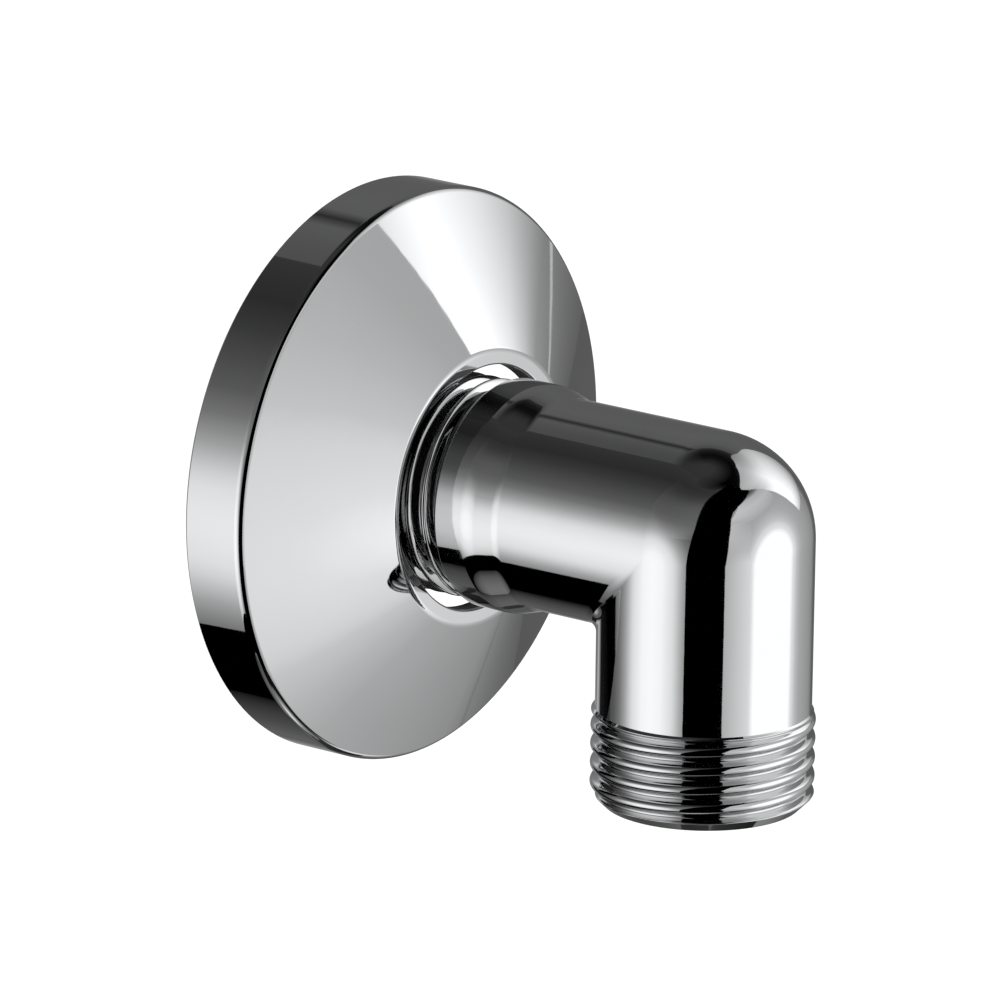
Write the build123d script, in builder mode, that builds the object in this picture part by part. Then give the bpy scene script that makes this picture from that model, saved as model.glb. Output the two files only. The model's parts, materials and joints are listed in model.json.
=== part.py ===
"""Wall outlet elbow: a cast brass 90 degree elbow with a loose conical wall flange.

Millimetres, +Z up. The origin lies on the inlet axis in the wall plane, where the flange's
back edge stands. The elbow reaches out towards -Y, its outlet points down -Z, and its inlet
thread enters the wall towards +Y. Threads are plain cylinders at their outside diameter.
"""
import math
import os

from build123d import *

# Half inch pipe thread, the same on both ends
thread_d = 20.955
thread_root_d = 18.631

# Elbow: tube, drop and the ball corner between them share one diameter
tube_d = 20.2
reach = 40.0
drop = 25.5
inner_corner_round = 1.0

# Water way, bored from both ends to the ball corner
bore_d = 14.0
bore_chamfer = 0.6

# Inlet end: thread, plain collar, shoulder that rounds over and runs out hollow to the tube
inlet_past_wall = 10.0
collar_start = 16.2
collar_length = 3.5
collar_step = 0.45
shoulder_round_length = 2.65
shoulder_hollow_length = 1.55

# Outlet end
outlet_thread_length = 9.2

# Wall flange: rim band, straight cone, flat land round the hole
flange_d = 55.0
flange_wall = 2.0
rim_height = 6.6
rim_round = 1.0
back_chamfer = 0.4
land_height = 13.95
land_width = 1.45
land_round = 1.3
hole_clearance = 0.8
hole_depth = 2.0
hole_chamfer = 0.2

# Radii and places that follow from the sizes above
thread_r = thread_d / 2
thread_root_r = thread_root_d / 2
thread_chamfer = thread_r - thread_root_r
tube_r = tube_d / 2
bore_r = bore_d / 2
collar_r = thread_r + collar_step
collar_end = collar_start + collar_length
shoulder_length = shoulder_round_length + shoulder_hollow_length
shoulder_mid = collar_end + shoulder_round_length
shoulder_mid_r = collar_r - (collar_r - tube_r) * shoulder_round_length / shoulder_length
tube_start = collar_end + shoulder_length
outlet_thread_start = drop - outlet_thread_length
outlet_step = thread_r - tube_r
flange_r = flange_d / 2
flange_inner_r = flange_r - flange_wall
hole_r = collar_r + hole_clearance
land_r = hole_r + land_width

# Cone: how it climbs, its wall measured along the axis, where its inside meets the rim and the hole
cone_slope = (land_height - rim_height) / (flange_r - land_r)
cone_wall = flange_wall * math.hypot(1, cone_slope)
inner_rim_height = rim_height + flange_wall * cone_slope - cone_wall
hole_back = land_height - hole_depth
hole_back_r = flange_r - (hole_back - rim_height + cone_wall) / cone_slope

drop_plane = Plane(origin=(0, -reach, 0), x_dir=(1, 0, 0), z_dir=(0, -1, 0))
drop_axis = Axis((0, -reach, 0), (0, 0, 1))

os.makedirs("parts", exist_ok=True)

# Elbow body: one brass casting with turned ends
with BuildPart() as elbow_body:
    # Inlet thread, collar, shoulder and tube as one turned form
    with BuildSketch(Plane.XY):
        with BuildLine():
            Polyline(
                (0, inlet_past_wall),
                (thread_root_r, inlet_past_wall),
                (thread_r, inlet_past_wall - thread_chamfer),
                (thread_r, -collar_start),
                (collar_r, -collar_start - collar_step),
                (collar_r, -collar_end),
            )
            TangentArc((collar_r, -collar_end), (shoulder_mid_r, -shoulder_mid), tangent=(0, -1))
            TangentArc((tube_r, -tube_start), (shoulder_mid_r, -shoulder_mid), tangent=(0, 1))
            Polyline(
                (tube_r, -tube_start),
                (tube_r, -reach),
                (0, -reach),
                (0, inlet_past_wall),
            )
        make_face()
    revolve(axis=Axis.Y)
    # Drop with the ball corner on top and the outlet thread at its foot
    with BuildSketch(drop_plane):
        with BuildLine():
            RadiusArc((0, tube_r), (tube_r, 0), tube_r)
            Polyline(
                (tube_r, 0),
                (tube_r, -outlet_thread_start),
                (thread_r, -outlet_thread_start - outlet_step),
                (thread_r, thread_chamfer - drop),
                (thread_root_r, -drop),
                (0, -drop),
                (0, tube_r),
            )
        make_face()
    revolve(axis=drop_axis)
    # Soft inner corner along the mitre of tube and drop
    fillet(elbow_body.edges().filter_by(GeomType.ELLIPSE), inner_corner_round)
    # Water way in from the wall, out through the foot
    with BuildSketch(Plane.XY):
        with BuildLine():
            Polyline(
                (0, inlet_past_wall),
                (bore_r + bore_chamfer, inlet_past_wall),
                (bore_r, inlet_past_wall - bore_chamfer),
                (bore_r, -reach),
                (0, -reach),
                close=True,
            )
        make_face()
    revolve(axis=Axis.Y, mode=Mode.SUBTRACT)
    with BuildSketch(drop_plane):
        with BuildLine():
            RadiusArc((0, bore_r), (bore_r, 0), bore_r)
            Polyline(
                (bore_r, 0),
                (bore_r, bore_chamfer - drop),
                (bore_r + bore_chamfer, -drop),
                (0, -drop),
                (0, bore_r),
            )
        make_face()
    revolve(axis=drop_axis, mode=Mode.SUBTRACT)
elbow_body.part.label = "elbow_body"
export_step(elbow_body.part, "parts/elbow_body.step")

# Wall flange: one turned brass shell, open at the back, loose on the inlet
with BuildPart() as wall_flange:
    with BuildSketch(Plane.XY) as flange_section:
        with BuildLine():
            Polyline(
                (flange_r - back_chamfer, 0),
                (flange_r, -back_chamfer),
                (flange_r, -rim_height),
                (land_r, -land_height),
                (hole_r, -land_height),
                (hole_r, -hole_back),
                (hole_back_r, -hole_back),
                (flange_inner_r, -inner_rim_height),
                (flange_inner_r, 0),
                close=True,
            )
        make_face()
        rim_corner = flange_section.vertices().sort_by_distance((flange_r, -rim_height))[0]
        fillet(rim_corner, rim_round)
        land_corner = flange_section.vertices().sort_by_distance((land_r, -land_height))[0]
        fillet(land_corner, land_round)
        hole_corner = flange_section.vertices().sort_by_distance((hole_r, -land_height))[0]
        chamfer(hole_corner, hole_chamfer)
    revolve(axis=Axis.Y)
wall_flange.part.label = "wall_flange"
export_step(wall_flange.part, "parts/wall_flange.step")
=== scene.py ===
import json
import math

import bpy
import numpy as np
from mathutils import Matrix, Vector


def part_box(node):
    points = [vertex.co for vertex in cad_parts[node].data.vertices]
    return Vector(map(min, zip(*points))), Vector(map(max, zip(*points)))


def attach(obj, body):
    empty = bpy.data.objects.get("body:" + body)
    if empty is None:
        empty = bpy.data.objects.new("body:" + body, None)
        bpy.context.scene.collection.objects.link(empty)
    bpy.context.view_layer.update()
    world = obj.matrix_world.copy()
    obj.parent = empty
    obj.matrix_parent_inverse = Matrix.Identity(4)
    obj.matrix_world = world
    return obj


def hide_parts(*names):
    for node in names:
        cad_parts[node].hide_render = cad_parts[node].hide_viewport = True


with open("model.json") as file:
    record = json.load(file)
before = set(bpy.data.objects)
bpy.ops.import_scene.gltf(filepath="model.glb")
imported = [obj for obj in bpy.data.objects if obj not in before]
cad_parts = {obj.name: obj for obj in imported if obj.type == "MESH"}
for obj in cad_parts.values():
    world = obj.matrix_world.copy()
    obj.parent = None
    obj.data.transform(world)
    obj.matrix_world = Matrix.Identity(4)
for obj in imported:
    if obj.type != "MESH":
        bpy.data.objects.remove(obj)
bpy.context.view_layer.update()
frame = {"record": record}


# Elbow body.
# One brass casting, bored through, with half inch pipe threads cut on both ends. It is polished by
# hand and chrome plated outside, and its inlet screws into the wall; the water way stays bare brass.
MM = 0.001
elbow_low, elbow_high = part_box("elbow_body")
elbow_mounts = {mount["name"]: mount for mount in frame["record"]["mounts"]}
thread_r = elbow_mounts["outlet_thread"]["dims"]["r_mm"] * MM
inlet_end = elbow_high.y
outlet_end = elbow_low.z
reach = -elbow_low.y - thread_r
collar_r = elbow_high.x
collar_start = -16.2 * MM
collar_front = -19.5 * MM
collar_round = 0.15 * MM
shoulder_slope = math.radians(17)
shoulder_round = 5.2 * MM
shoulder_hollow = 2.79 * MM
tube_start = -23.4 * MM
tube_r = 10.1 * MM
inner_round = 1.0 * MM
inner_side_round = 3.5 * MM
outlet_shoulder = -16.3 * MM
bore_r = 7.0 * MM
bore_chamfer = 0.6 * MM

# Half inch pipe thread: 55 degrees between its flanks, fourteen turns to the inch, crests and roots
# rounded; polishing has rounded the crests of the outlet's thread more, which shows
pitch = 25.4 / 14 * MM
flank_angle = math.radians(27.5)
thread_depth = 0.640327 * pitch
thread_round = 0.137329 * pitch
polished_round = 0.3 * pitch
inlet_runout = 0.5 * MM
outlet_runout = 0.8 * MM
inlet_crest_turn = 0.13
outlet_crest_turn = 0.375
inlet_rows = 232
outlet_rows = 130

columns = 160
around = np.linspace(0, 2 * np.pi, columns, endpoint=False)


def thread_drop(turns, crest_round):
    """Depth of the thread's surface under its crests, which lie at whole turns."""
    from_crest = np.abs(turns - np.round(turns)) * pitch
    from_root = pitch / 2 - from_crest
    crest_half, root_half = crest_round * math.cos(flank_angle), thread_round * math.cos(flank_angle)
    flank_top = crest_round * (1 - math.sin(flank_angle))
    flank_foot = flank_top + (pitch / 2 - crest_half - root_half) / math.tan(flank_angle)
    crest = crest_round - np.sqrt(crest_round**2 - np.minimum(from_crest, crest_half) ** 2)
    root = np.sqrt(thread_round**2 - np.minimum(from_root, root_half) ** 2)
    root = flank_foot - thread_round * math.sin(flank_angle) + root
    flank = flank_top + (from_crest - crest_half) / math.tan(flank_angle)
    return np.where(from_crest < crest_half, crest, np.where(from_root < root_half, root, flank))


def fade_in(distance, length):
    """Smooth step from 0 to 1 over a length."""
    t = np.clip(distance / length, 0, 1)
    return t * t * (3 - 2 * t)


def threaded_rows(places, body_places, body_radii, crest_turn, crest_round, runout_from, runout):
    """Radii and normals, by row and column, of a thread cut into a turned body."""
    body = np.interp(places, body_places, body_radii)[:, None]
    turns = places[:, None] / pitch - around[None, :] / (2 * np.pi) - crest_turn
    depth = thread_drop(turns, crest_round) * fade_in(np.abs(places - runout_from), runout)[:, None]
    radii = np.minimum(body, thread_r - depth)
    climb = np.gradient(radii, places, axis=0)
    turn_step = 2 * np.pi / columns
    twist = (np.roll(radii, -1, axis=1) - np.roll(radii, 1, axis=1)) / (2 * turn_step) / radii
    normals = np.stack([np.ones_like(radii), -climb, -twist], axis=-1)
    return radii, normals / np.linalg.norm(normals, axis=-1, keepdims=True)


def turned_profile(corners, arc_steps=10):
    """Places (radius, along) and normals of a turned outline; each corner is (radius, along, round)."""
    places, normals = [], []
    last = len(corners) - 1

    def side(a, b):
        step = np.subtract(b[:2], a[:2])
        step = step / np.linalg.norm(step)
        return step, np.array((-step[1], step[0]))

    for i, corner in enumerate(corners):
        here = np.array(corner[:2])
        if i == 0 or i == last:
            _, normal = side(corners[max(i - 1, 0)], corners[max(i, 1)])
            places.append(here)
            normals.append(normal)
            continue
        step_in, normal_in = side(corners[i - 1], corner)
        step_out, normal_out = side(corner, corners[i + 1])
        turn = math.atan2(step_in[0] * step_out[1] - step_in[1] * step_out[0], step_in @ step_out)
        if corner[2] == 0:
            places += [here, here]
            normals += [normal_in, normal_out]
            continue
        start = here - step_in * corner[2] * math.tan(abs(turn) / 2)
        centre = start + normal_in * corner[2] * math.copysign(1, turn)
        for k in range(arc_steps + 1):
            angle = turn * k / arc_steps
            normal = np.array((
                normal_in[0] * math.cos(angle) - normal_in[1] * math.sin(angle),
                normal_in[0] * math.sin(angle) + normal_in[1] * math.cos(angle),
            ))
            places.append(centre - normal * corner[2] * math.copysign(1, turn))
            normals.append(normal)
    return np.array(places), np.array(normals)


def round_the_inlet(radii, along, normals):
    """Rows round the inlet axis, from radii, places along it and normals (radial, along, around)."""
    radii, along, _ = np.broadcast_arrays(radii, along, around[None, :])
    sine, cosine = np.sin(around)[None, :], np.cos(around)[None, :]
    points = np.stack([radii * sine, along, radii * cosine], axis=-1)
    out, forth, turn = normals[..., 0], normals[..., 1], normals[..., 2]
    forth = forth + 0 * sine
    facing = np.stack([out * sine + turn * cosine, forth, out * cosine - turn * sine], axis=-1)
    return points, facing


def round_the_drop(radii, along, normals):
    """Rows round the outlet axis, from radii, heights on it and normals (radial, along, around)."""
    radii, along, _ = np.broadcast_arrays(radii, along, around[None, :])
    sine, cosine = np.sin(around)[None, :], np.cos(around)[None, :]
    points = np.stack([radii * sine, -reach - radii * cosine, along], axis=-1)
    out, forth, turn = normals[..., 0], normals[..., 1], normals[..., 2]
    forth = forth + 0 * sine
    facing = np.stack([out * sine + turn * cosine, -out * cosine + turn * sine, forth], axis=-1)
    return points, facing


def elbow_bend(radius, foot_round, side_round, tube_end, drop_end, straight_steps=4, bend_steps=20):
    """Rows of the bend at one radius: along the tube, round ball or inner corner, down the drop."""
    sine, cosine = np.sin(around), np.cos(around)
    rise = np.abs(cosine)
    upper = (cosine >= 0)[:, None]
    corner_round = foot_round + (side_round - foot_round) * (1 - rise)
    inner = np.maximum(-cosine, 0) * (radius + corner_round)
    zero = np.zeros(columns)
    tube_facing = np.stack([sine, zero, cosine], axis=-1)
    drop_facing = np.stack([sine, -cosine, zero], axis=-1)
    points, facing = [], []
    for t in np.linspace(0, 1, straight_steps + 1)[1:]:
        y = tube_end + t * (inner - reach - tube_end)
        points.append(np.stack([radius * sine, y, radius * cosine], axis=-1))
        facing.append(tube_facing)
    centre = np.stack([(radius + corner_round) * sine, inner - reach, -inner], axis=-1)
    between = np.arccos(np.clip((tube_facing * drop_facing).sum(axis=-1), -1, 1))
    least_angle = 1e-6
    spread = np.maximum(np.sin(between), least_angle)
    for t in np.linspace(0, 1, bend_steps + 1)[1:-1]:
        swing = t * np.pi / 2
        ball = np.stack([sine, -rise * math.sin(swing), rise * math.cos(swing)], axis=-1)
        ease_in, ease_out = np.sin((1 - t) * between) / spread, np.sin(t * between) / spread
        hollow = tube_facing * ease_in[:, None] + drop_facing * ease_out[:, None]
        hollow = np.where(between[:, None] < least_angle, tube_facing, hollow)
        on_ball = ball * radius - np.array((0, reach, 0))
        points.append(np.where(upper, on_ball, centre - hollow * corner_round[:, None]))
        facing.append(np.where(upper, ball, hollow))
    for t in np.linspace(0, 1, straight_steps + 1):
        z = -inner + t * (drop_end + inner)
        points.append(np.stack([radius * sine, -reach - radius * cosine, z], axis=-1))
        facing.append(drop_facing)
    return np.array(points), np.array(facing)


def skin(name, runs, materials):
    """One closed mesh from runs of rows; each run is (points, facing, material number)."""
    places, facings, faces, corners, numbers = [], [], [], [], []
    count = 0
    digits_to_merge = 8
    for points, facing, number in runs:
        rows, across = points.shape[:2]
        grid = np.arange(rows * across).reshape(rows, across) + count
        beside = np.roll(grid, -1, axis=1)
        quads = np.stack([grid[:-1], beside[:-1], beside[1:], grid[1:]], axis=-1).reshape(-1, 4)
        faces.append(quads)
        numbers += [number] * len(quads)
        places.append(points.reshape(-1, 3))
        facings.append(facing.reshape(-1, 3))
        count += rows * across
    places, facings, faces = np.concatenate(places), np.concatenate(facings), np.concatenate(faces)
    rounded = np.round(places, digits_to_merge)
    _, first, merged = np.unique(rounded, axis=0, return_index=True, return_inverse=True)
    merged = merged.reshape(-1)
    shown_faces, shown_numbers = [], []
    for quad, number in zip(faces, numbers):
        kept = [v for k, v in enumerate(quad) if merged[v] != merged[quad[k - 1]]]
        if len(kept) < 3:
            continue
        a, b, c = places[kept[0]], places[kept[1]], places[kept[2]]
        if np.cross(b - a, c - b) @ facings[kept].sum(axis=0) < 0:
            kept.reverse()
        shown_faces.append([int(merged[v]) for v in kept])
        shown_numbers.append(number)
        corners += [facings[v] for v in kept]
    mesh = bpy.data.meshes.new(name)
    mesh.from_pydata(places[first].tolist(), [], shown_faces)
    for material in materials:
        mesh.materials.append(material)
    mesh.polygons.foreach_set("material_index", shown_numbers)
    mesh.polygons.foreach_set("use_smooth", [True] * len(shown_faces))
    mesh.normals_split_custom_set(np.array(corners).tolist())
    mesh.update()
    piece = bpy.data.objects.new(name, mesh)
    bpy.context.scene.collection.objects.link(piece)
    return piece


def turned_rows(corners, lay_round):
    """Rows of a turned outline round the inlet or the drop."""
    places, normals = turned_profile(corners)
    normals = np.column_stack([normals, np.zeros(len(normals))])[:, None, :]
    return lay_round(places[:, :1], places[:, 1:], np.broadcast_to(normals, (len(places), columns, 3)))


# Outside, from the inlet's end to the outlet's end
thread_root_r = thread_r - thread_depth
inlet_places = np.linspace(inlet_end, collar_start, inlet_rows)
inlet_radii, inlet_normals = threaded_rows(
    inlet_places,
    [collar_start, inlet_end - thread_depth, inlet_end],
    [thread_r, thread_r, thread_root_r],
    inlet_crest_turn, thread_round, collar_start, inlet_runout,
)
inlet_thread = round_the_inlet(inlet_radii, inlet_places[:, None], inlet_normals)
inlet_collar = turned_rows(
    [
        (thread_r, collar_start, 0),
        (collar_r, collar_start - (collar_r - thread_r), collar_round),
        (collar_r, collar_front - shoulder_round * math.tan(shoulder_slope / 2), shoulder_round),
        (tube_r, tube_start + shoulder_hollow * math.tan(shoulder_slope / 2), shoulder_hollow),
        (tube_r, tube_start, 0),
    ],
    round_the_inlet,
)
bend = elbow_bend(tube_r, inner_round, inner_side_round, tube_start, outlet_shoulder)
outlet_places = np.linspace(outlet_shoulder, outlet_end, outlet_rows)
outlet_radii, outlet_normals = threaded_rows(
    outlet_places,
    [outlet_end, outlet_end + thread_depth, outlet_shoulder - (thread_r - tube_r), outlet_shoulder],
    [thread_root_r, thread_r, thread_r, tube_r],
    outlet_crest_turn, polished_round, outlet_shoulder, outlet_runout,
)
outlet_thread = round_the_drop(outlet_radii, outlet_places[:, None], outlet_normals)
outside = [np.concatenate(rows) for rows in zip(inlet_thread, inlet_collar, bend, outlet_thread)]

# End faces, chamfers and the water way between them
outlet_face = turned_rows(
    [
        (thread_root_r, outlet_end, 0),
        (bore_r + bore_chamfer, outlet_end, 0),
        (bore_r, outlet_end + bore_chamfer, 0),
    ],
    round_the_drop,
)
inlet_face = turned_rows(
    [
        (bore_r, inlet_end - bore_chamfer, 0),
        (bore_r + bore_chamfer, inlet_end, 0),
        (thread_root_r, inlet_end, 0),
    ],
    round_the_inlet,
)
bore_points, bore_facing = elbow_bend(bore_r, 0, 0, inlet_end - bore_chamfer, outlet_end + bore_chamfer)
bore_first = inlet_face[0][:1]
bore_last = outlet_face[0][-1:]
water_way = (
    np.concatenate([bore_first, bore_points, bore_last]),
    -np.concatenate([bore_facing[:1], bore_facing, bore_facing[-1:]]),
)


def plated(name, tone, haze_scale, haze, wave_scale, wave_height):
    """Polished chrome: faint haze in the gloss and a slight wave left by the polishing."""
    material = bpy.data.materials.new(name)
    material.use_nodes = True
    nodes, links = material.node_tree.nodes, material.node_tree.links
    shader = nodes["Principled BSDF"]
    shader.inputs["Metallic"].default_value = 1.0
    shader.inputs["Specular Tint"].default_value = (0.78, 0.78, 0.78, 1)
    place = nodes.new("ShaderNodeTexCoord")
    clouds = nodes.new("ShaderNodeTexNoise")
    clouds.inputs["Scale"].default_value = haze_scale
    clouds.inputs["Detail"].default_value = 5
    links.new(place.outputs["Object"], clouds.inputs["Vector"])
    tint = nodes.new("ShaderNodeValToRGB")
    tint.color_ramp.elements[0].color = [c * 0.95 for c in tone] + [1]
    tint.color_ramp.elements[1].color = list(tone) + [1]
    links.new(clouds.outputs["Fac"], tint.inputs["Fac"])
    links.new(tint.outputs["Color"], shader.inputs["Base Color"])
    gloss = nodes.new("ShaderNodeMapRange")
    gloss.inputs["From Min"].default_value = 0.3
    gloss.inputs["From Max"].default_value = 0.7
    gloss.inputs["To Min"].default_value = haze[0]
    gloss.inputs["To Max"].default_value = haze[1]
    links.new(clouds.outputs["Fac"], gloss.inputs["Value"])
    links.new(gloss.outputs["Result"], shader.inputs["Roughness"])
    wave = nodes.new("ShaderNodeTexNoise")
    wave.inputs["Scale"].default_value = wave_scale
    wave.inputs["Detail"].default_value = 2
    links.new(place.outputs["Object"], wave.inputs["Vector"])
    bump = nodes.new("ShaderNodeBump")
    bump.inputs["Distance"].default_value = wave_height
    links.new(wave.outputs["Fac"], bump.inputs["Height"])
    links.new(bump.outputs["Normal"], shader.inputs["Normal"])
    return material


def bare_brass(name):
    """Unplated cast brass in the water way: dull yellow, darker where it is tarnished."""
    material = bpy.data.materials.new(name)
    material.use_nodes = True
    nodes, links = material.node_tree.nodes, material.node_tree.links
    shader = nodes["Principled BSDF"]
    shader.inputs["Metallic"].default_value = 1.0
    place = nodes.new("ShaderNodeTexCoord")
    grain = nodes.new("ShaderNodeTexNoise")
    grain.inputs["Scale"].default_value = 900
    grain.inputs["Detail"].default_value = 6
    links.new(place.outputs["Object"], grain.inputs["Vector"])
    tint = nodes.new("ShaderNodeValToRGB")
    tint.color_ramp.elements[0].color = (0.32, 0.22, 0.10, 1)
    tint.color_ramp.elements[1].color = (0.62, 0.46, 0.22, 1)
    links.new(grain.outputs["Fac"], tint.inputs["Fac"])
    links.new(tint.outputs["Color"], shader.inputs["Base Color"])
    gloss = nodes.new("ShaderNodeMapRange")
    gloss.inputs["To Min"].default_value = 0.3
    gloss.inputs["To Max"].default_value = 0.6
    links.new(grain.outputs["Fac"], gloss.inputs["Value"])
    links.new(gloss.outputs["Result"], shader.inputs["Roughness"])
    bump = nodes.new("ShaderNodeBump")
    bump.inputs["Distance"].default_value = 0.00005
    links.new(grain.outputs["Fac"], bump.inputs["Height"])
    links.new(bump.outputs["Normal"], shader.inputs["Normal"])
    return material


chrome_tone = (0.55, 0.554, 0.56)
elbow_chrome = plated("elbow_chrome", chrome_tone, 160, (0.02, 0.06), 420, 0.000004)
elbow = skin(
    "elbow_with_threads",
    [(*outside, 0), (*outlet_face, 0), (*inlet_face, 0), (*water_way, 1)],
    [elbow_chrome, bare_brass("water_way_brass")],
)
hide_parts("elbow_body")
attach(elbow, "elbow")


# Wall flange.
# A turned brass shell that slides loose on the inlet and hides the hole in the wall: rim band,
# straight cone and a flat land round the hole. It is polished and plated in front and dull inside;
# the dark tone of its inside and of the wall of its hole is painted shade.
flange_low, flange_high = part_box("wall_flange")
flange_r = flange_high.x
flange_wall = 2.0 * MM
rim_height = 6.6 * MM
rim_round = 1.0 * MM
back_chamfer = 0.4 * MM
land_height = -flange_low.y
land_round = 1.3 * MM
land_width = 1.45 * MM
hole_clearance = 0.8 * MM
hole_depth = 2.0 * MM
hole_edge = 0.2 * MM
hole_r = collar_r + hole_clearance
land_r = hole_r + land_width
cone_slope = (land_height - rim_height) / (flange_r - land_r)
cone_wall = flange_wall * math.hypot(1, cone_slope)
inner_rim_height = rim_height + flange_wall * cone_slope - cone_wall
hole_back = land_height - hole_depth
hole_back_r = flange_r - (hole_back - rim_height + cone_wall) / cone_slope
# The flange is wider than the elbow, so it has more columns round its axis
columns = 224
around = np.linspace(0, 2 * np.pi, columns, endpoint=False)
flange_front = turned_rows(
    [
        (flange_r - back_chamfer, 0, 0),
        (flange_r, -back_chamfer, back_chamfer / 4),
        (flange_r, -rim_height, rim_round),
        (land_r, -land_height, land_round),
        (hole_r, -land_height, hole_edge),
        (hole_r, 2 * hole_edge - land_height, 0),
    ],
    round_the_inlet,
)
flange_back = turned_rows(
    [
        (hole_r, 2 * hole_edge - land_height, 0),
        (hole_r, -hole_back, 0),
        (hole_back_r, -hole_back, 0),
        (flange_r - flange_wall, -inner_rim_height, rim_round / 2),
        (flange_r - flange_wall, 0, 0),
        (flange_r - back_chamfer, 0, 0),
    ],
    round_the_inlet,
)
flange_chrome = plated("flange_chrome", chrome_tone, 120, (0.02, 0.05), 300, 0.000002)
# Inside and hole wall: a dull finish, and a dark tone that is painted shade in the hole and under the
# shell
dull_inside_painted_shade = plated("dull_inside_painted_shade", (0.2, 0.19, 0.18), 700, (0.4, 0.6), 1500, 0.00003)
flange = skin("flange_shell", [(*flange_front, 0), (*flange_back, 1)], [flange_chrome, dull_inside_painted_shade])
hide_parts("wall_flange")
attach(flange, "flange")


# Studio.
# The elbow hangs over a pale floor. Its chrome shows what stands round it, outside the picture: a tent
# of grey cloth with two round soft lights, a window, and black and pale cards, seen only in mirrors.
scene = bpy.context.scene
scene.view_settings.view_transform = "Standard"
world = bpy.data.worlds.new("white_room")
world.use_nodes = True
scene.world = world
room = world.node_tree.nodes["Background"]
room.inputs["Color"].default_value = (1, 1, 1, 1)
room.inputs["Strength"].default_value = 1.0

floor_mesh = bpy.data.meshes.new("floor")
floor_half = 6.0
floor_height = -0.8
floor_mesh.from_pydata(
    [(x * floor_half, y * floor_half, floor_height) for x, y in ((-1, -1), (1, -1), (1, 1), (-1, 1))],
    [], [(0, 1, 2, 3)],
)
floor = bpy.data.objects.new("floor", floor_mesh)
scene.collection.objects.link(floor)
floor_paint = bpy.data.materials.new("pale_floor")
floor_paint.use_nodes = True
floor_shader = floor_paint.node_tree.nodes["Principled BSDF"]
floor_shader.inputs["Base Color"].default_value = (0.85, 0.85, 0.85, 1)
floor_shader.inputs["Roughness"].default_value = 0.9
floor_shader.inputs["Emission Color"].default_value = (1, 1, 1, 1)
floor_shader.inputs["Emission Strength"].default_value = 0.25
floor_mesh.materials.append(floor_paint)

studio_centre = Vector((0, -20 * MM, 0))
# A card of tone 1 looks nearly white in the chrome
white_in_chrome = 0.93
full_white = white_in_chrome / chrome_tone[1]


def towards(azimuth, elevation, distance):
    """Point in a direction from the object: azimuth 0 in front, 90 to the right, elevation 0 level."""
    a, e = math.radians(azimuth), math.radians(elevation)
    way = Vector((math.sin(a) * math.cos(e), -math.cos(a) * math.cos(e), math.sin(e)))
    return studio_centre + distance * way


def studio_cloth(name, points, tones, across):
    """Rows of points as a sheet that glows by its tones and is seen only in mirrors."""
    faces = []
    for i in range(len(points) // across - 1):
        for k in range(across - 1):
            a = i * across + k
            faces.append((a, a + 1, a + across + 1, a + across))
    mesh = bpy.data.meshes.new(name)
    mesh.from_pydata(points, [], faces)
    glow_by_point = mesh.attributes.new("tone", "FLOAT", "POINT")
    glow_by_point.data.foreach_set("value", np.array(tones) * full_white)
    paint = bpy.data.materials.new(name)
    paint.use_nodes = True
    paint.cycles.emission_sampling = "NONE"
    nodes, links = paint.node_tree.nodes, paint.node_tree.links
    nodes.clear()
    tone = nodes.new("ShaderNodeAttribute")
    tone.attribute_name = "tone"
    glow = nodes.new("ShaderNodeEmission")
    out = nodes.new("ShaderNodeOutputMaterial")
    links.new(tone.outputs["Fac"], glow.inputs["Strength"])
    links.new(glow.outputs["Emission"], out.inputs["Surface"])
    mesh.materials.append(paint)
    sheet = bpy.data.objects.new(name, mesh)
    scene.collection.objects.link(sheet)
    sheet.visible_camera = False
    sheet.visible_diffuse = False
    sheet.visible_shadow = False


def card(name, distance, rows, across=25):
    """Curved card; rows run up as (elevation, left azimuth, right azimuth, left tone, right tone)."""
    rows = np.array(rows, float)
    steps_between = 8
    fine = np.linspace(0, len(rows) - 1, (len(rows) - 1) * steps_between + 1)
    rows = np.stack([np.interp(fine, np.arange(len(rows)), column) for column in rows.T], axis=1)
    points, tones = [], []
    for elevation, left, right, left_tone, right_tone in rows:
        for t in np.linspace(0, 1, across):
            points.append(towards(left + t * (right - left), elevation, distance))
            tones.append(left_tone + t * (right_tone - left_tone))
    studio_cloth(name, points, tones, across)


def soft_light(name, azimuth, elevation, distance, rings, across=97):
    """Round light, brightest in the middle; rings run outwards as (degrees from the middle, tone)."""
    middle = (towards(azimuth, elevation, 1) - studio_centre).normalized()
    side = middle.cross(Vector((0, 0, 1))).normalized()
    up = side.cross(middle)
    degrees = np.arange(0, rings[-1][0] + 1)
    points, tones = [], []
    for degree in degrees:
        tone = np.interp(degree, *zip(*rings))
        for turn in np.linspace(0, 2 * math.pi, across):
            spread = side * math.cos(turn) + up * math.sin(turn)
            out = middle * math.cos(math.radians(degree)) + spread * math.sin(math.radians(degree))
            points.append(studio_centre + out * distance)
            tones.append(tone)
    studio_cloth(name, points, tones, across)


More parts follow.
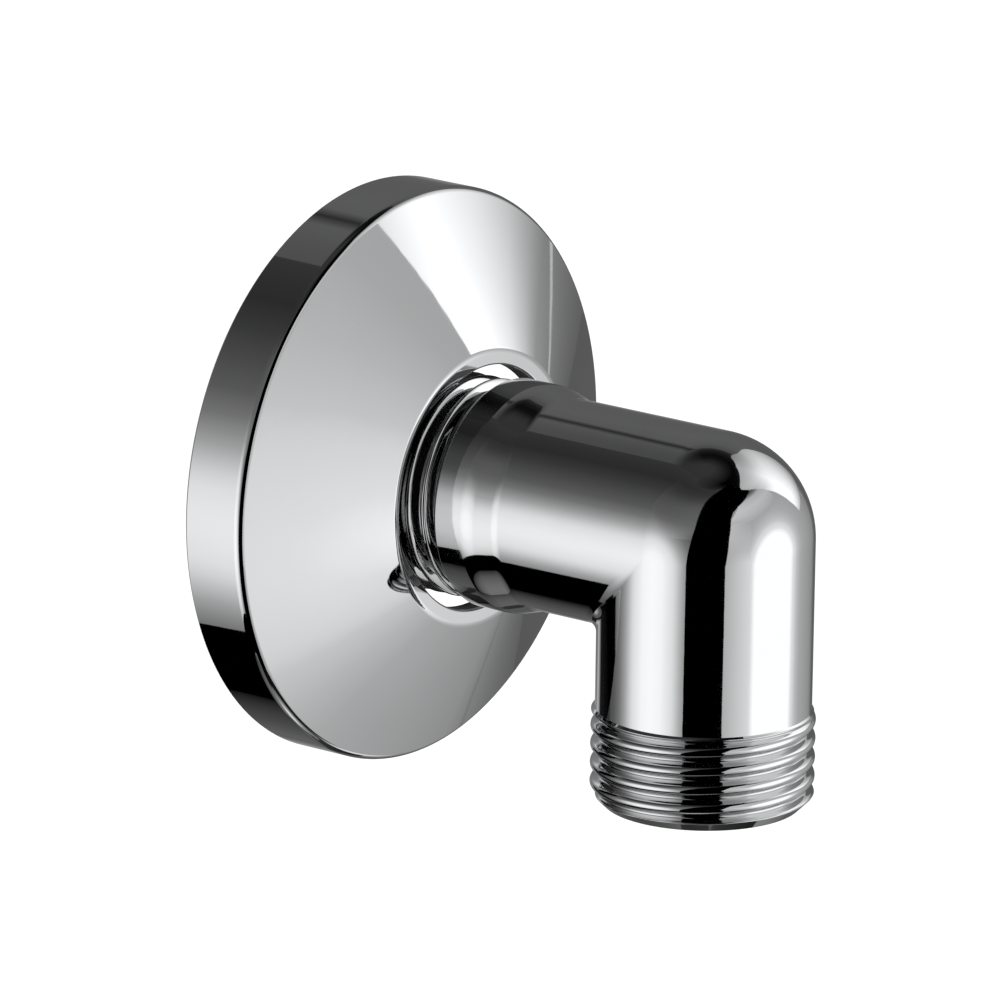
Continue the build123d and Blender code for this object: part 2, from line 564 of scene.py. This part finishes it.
# Tent, lights and pale cards
card("grey_tent", 0.65, [
    (-90, -180, 180, 0.1, 0.1),
    (0, -180, 180, 0.11, 0.11),
    (34, -180, 180, 0.115, 0.115),
    (48, -180, 180, 0.1, 0.1),
    (60, -180, 180, 0.055, 0.055),
    (68, -180, 180, 0.03, 0.03),
    (90, -180, 180, 0.035, 0.035),
], across=65)
soft_light("soft_light_left", -110, -17, 0.63, [
    (0, 1.05), (11, 1.0), (15, 0.92), (22, 0.8), (25, 0.7), (28, 0.57), (30, 0.49), (33, 0.38),
    (37, 0.28), (42, 0.18), (50, 0.105), (60, 0.07), (70, 0.042), (80, 0.026), (88, 0.03), (95, 0.036),
])
card("pale_wall_left", 0.61, [
    (12, -100, -66, 0.47, 0.1),
    (20, -108, -65, 0.27, 0.15),
    (27, -120, -64, 0.14, 0.14),
    (33, -128, -63, 0.1, 0.125),
    (42, -128, -60, 0.08, 0.112),
    (48, -128, -56, 0.062, 0.09),
    (53, -128, -50, 0.047, 0.06),
    (58, -128, -40, 0.036, 0.04),
    (64, -128, -30, 0.03, 0.03),
])
soft_light("soft_light_right", 22, -14, 0.6, [
    (0, 1.1), (22, 1.1), (24, 0.97), (26, 0.8), (28, 0.74), (29.5, 0.7), (31, 0.6), (35, 0.5),
    (40, 0.42), (48, 0.38), (58, 0.34), (64, 0.31), (68, 0.24), (72, 0.18), (76, 0.13),
])
card("pale_card_front", 0.55, [
    (-24, -38, -7, 0.42, 0.69),
    (-12, -33, -6, 0.43, 0.76),
    (0, -30, -8, 0.46, 0.55),
    (12, -29, -4, 0.52, 0.48),
    (25.5, -26, -2, 0.54, 0.4),
    (27.5, -25, 42, 0.48, 0.37),
    (32, -22, 46, 0.56, 0.42),
    (38, -14, 46, 0.58, 0.5),
    (44, -6, 42, 0.5, 0.4),
    (46.5, 5, 38, 0.2, 0.15),
    (49, 10, 34, 0.03, 0.03),
])

# Window to the right, in two halves
card("window_left", 0.16, [
    (6, 63, 68, 0.65, 0.56),
    (10, 60, 66, 1.05, 0.94),
    (15, 56, 64, 1.2, 1.15),
    (21, 52, 60, 1.25, 1.2),
    (30, 44.5, 56, 1.1, 1.18),
    (38, 35.5, 54, 0.62, 1.05),
    (43, 26.5, 52, 0.47, 0.9),
    (47.5, 15, 50, 0.45, 0.72),
    (50, 9.5, 49, 0.44, 0.62),
    (52, 10, 48, 0.43, 0.57),
    (54, 14, 47, 0.43, 0.52),
    (57, 24, 46, 0.42, 0.46),
    (60, 38, 50, 0.42, 0.43),
    (62, 48, 54, 0.42, 0.42),
])
card("window_right", 0.16, [
    (6, 68, 92, 0.56, 0.24),
    (10, 66, 92, 0.94, 0.28),
    (15, 64, 92, 1.15, 0.32),
    (21, 60, 92, 1.2, 0.38),
    (30, 56, 92, 1.18, 0.46),
    (38, 54, 92, 1.05, 0.5),
    (43, 52, 91, 0.9, 0.46),
    (47.5, 50, 88, 0.72, 0.42),
    (50, 49, 86, 0.62, 0.36),
    (52, 48, 84, 0.57, 0.33),
    (54, 47, 83, 0.52, 0.3),
    (57, 46, 82, 0.46, 0.26),
    (60, 50, 80, 0.43, 0.22),
    (62, 54, 74, 0.42, 0.22),
])
card("window_edge", 0.5, [
    (-45, 95, 96, 0.2, 0.2),
    (-30, 93, 93.8, 0.22, 0.22),
    (-8, 90.5, 91.2, 0.5, 0.5),
    (4, 89, 89.7, 0.55, 0.55),
])

# Black card with the lens in it, and what stands behind the object
card("black_card_round_the_lens", 0.5, [
    (-62, -76, -20, 0, 0),
    (-40, -75, -26, 0, 0),
    (-18, -73, -33, 0, 0),
    (-6, -71.5, -31.5, 0, 0),
    (13, -68, -28.5, 0, 0),
    (32, -63.5, -23, 0, 0),
    (38, -62, -18, 0, 0),
    (42, -60.5, -8.5, 0, 0),
    (45, -59, 4.5, 0, 0),
    (47.5, -57.5, 14, 0, 0),
    (49, -56.5, 22, 0, 0),
    (52, -54, 26, 0, 0),
    (56, -48, 30, 0, 0),
    (60, -39, 34, 0, 0),
    (63, -26, 38, 0, 0),
    (65, -8, 40, 0, 0),
])
card("pale_strip_behind", 0.6, [
    (-44, 122, 166, 0.09, 0.08),
    (-33, 122, 165, 0.12, 0.1),
    (-27, 122, 165, 0.22, 0.2),
    (-20, 122, 165, 0.27, 0.24),
    (-12, 122, 165, 0.24, 0.22),
    (2, 122, 165, 0.12, 0.12),
])
card("black_card_behind", 0.5, [
    (-54, 174, 196, 0, 0),
    (-36, 166, 193, 0, 0),
    (-18, 163.5, 190, 0, 0.05),
    (-4, 163, 188, 0, 0.1),
])
card("tent_pole_left", 0.6, [
    (36, 142, 146, 0.11, 0.03),
    (50, 141, 145, 0.09, 0.02),
    (58, 136, 142, 0.05, 0.015),
    (63, 130, 138, 0.02, 0.012),
])
card("tent_pole_right", 0.6, [
    (36, 146, 150, 0.03, 0.11),
    (50, 145, 150, 0.02, 0.09),
    (58, 142, 150, 0.015, 0.05),
    (63, 138, 150, 0.012, 0.035),
])

# Beam overhead, fading out at both ends
card("black_beam", 0.45, [
    (57, 4, 126, 0, 0.03),
    (62, 0, 134, 0, 0.012),
    (68, -10, 132, 0, 0.004),
    (73, -20, 130, 0.012, 0.006),
    (78, -20, 130, 0.022, 0.02),
    (84, -20, 130, 0.034, 0.036),
])
card("black_beam_front_end", 0.45, [
    (64, -40, -4, 0.03, 0),
    (68, -70, -10, 0.03, 0),
    (73, -80, -20, 0.03, 0.012),
    (78, -80, -20, 0.031, 0.022),
    (84, -80, -20, 0.034, 0.034),
])
card("black_beam_back_end", 0.45, [
    (57, 126, 146, 0.03, 0.066),
    (62, 134, 164, 0.012, 0.048),
    (68, 132, 176, 0.004, 0.03),
    (73, 130, 180, 0.006, 0.031),
    (78, 130, 180, 0.02, 0.033),
    (84, 130, 180, 0.036, 0.034),
])

# Floor under the tent
card("black_floor", 0.5, [
    (-60, -190, -70, 0, 0),
    (-55, -190, -72, 0, 0),
    (-44, -186, -76, 0, 0),
], across=49)
card("floor_edge", 0.5, [
    (-73, -228, -190, 0.16, 0.05),
    (-55, -226, -188, 0.13, 0),
    (-46, -224, -188, 0.11, 0.02),
    (-36, -222, -200, 0.12, 0.09),
])
card("dark_table", 0.55, [
    (-74, -80, 130, 0, 0.04),
    (-60, -74, 125, 0, 0.02),
    (-57, -72, 122, 0, 0.02),
], across=49)
card("pale_patch_on_table", 0.54, [
    (-68, 32, 66, 0.03, 0.25),
    (-64, 46, 73, 0.3, 0.65),
    (-60, 55, 78, 0.75, 0.85),
    (-54, 65, 83, 0.8, 0.8),
    (-50, 72, 86, 0.6, 0.5),
    (-46, 78, 88, 0.25, 0.2),
])
card("pale_floor_below", 0.52, [
    (-90, -180, 180, 0.8, 0.8),
    (-86, -180, 180, 0.7, 0.7),
    (-82, -180, 180, 0.3, 0.3),
    (-76, -180, 180, 0.12, 0.12),
], across=65)
card("pale_floor_left", 0.51, [
    (-79, -192, -95, 0.2, 0.18),
    (-66, -190, -95, 0.11, 0.09),
    (-59, -188, -100, 0.02, 0.01),
])

# Soft lamp that lays the elbow's shadow on the floor; the chrome doesn't show it
lamp_data = bpy.data.lights.new("soft_lamp", "AREA")
lamp_data.shape = "RECTANGLE"
lamp_data.size, lamp_data.size_y = 0.5, 0.8
lamp_data.energy = 1.4
lamp = bpy.data.objects.new("soft_lamp", lamp_data)
lamp.location = towards(74, 60, 0.9)
lamp.rotation_euler = (lamp.location - studio_centre).to_track_quat("Z", "Y").to_euler()
lamp.visible_glossy = False
scene.collection.objects.link(lamp)


# Camera.
# It stands a metre away, in front and to the left, a little above the elbow, with a long lens.
camera_azimuth = math.radians(-52.73)
camera_elevation = math.radians(15.89)
camera_roll = math.radians(0.83)
camera_distance = 1.0
camera_aim = Vector((-1.995, -17.438, -0.127)) * MM
back = Vector((
    math.sin(camera_azimuth) * math.cos(camera_elevation),
    -math.cos(camera_azimuth) * math.cos(camera_elevation),
    math.sin(camera_elevation),
))
level = Vector((math.cos(camera_azimuth), math.sin(camera_azimuth), 0))
right = Matrix.Rotation(camera_roll, 3, back) @ level
camera_data = bpy.data.cameras.new("camera")
camera_data.sensor_width = 36
camera_data.lens = 384.86
camera = bpy.data.objects.new("camera", camera_data)
camera.matrix_world = Matrix.Translation(camera_aim + back * camera_distance) @ Matrix(
    (right, back.cross(right), back)
).transposed().to_4x4()
scene.collection.objects.link(camera)
scene.camera = camera
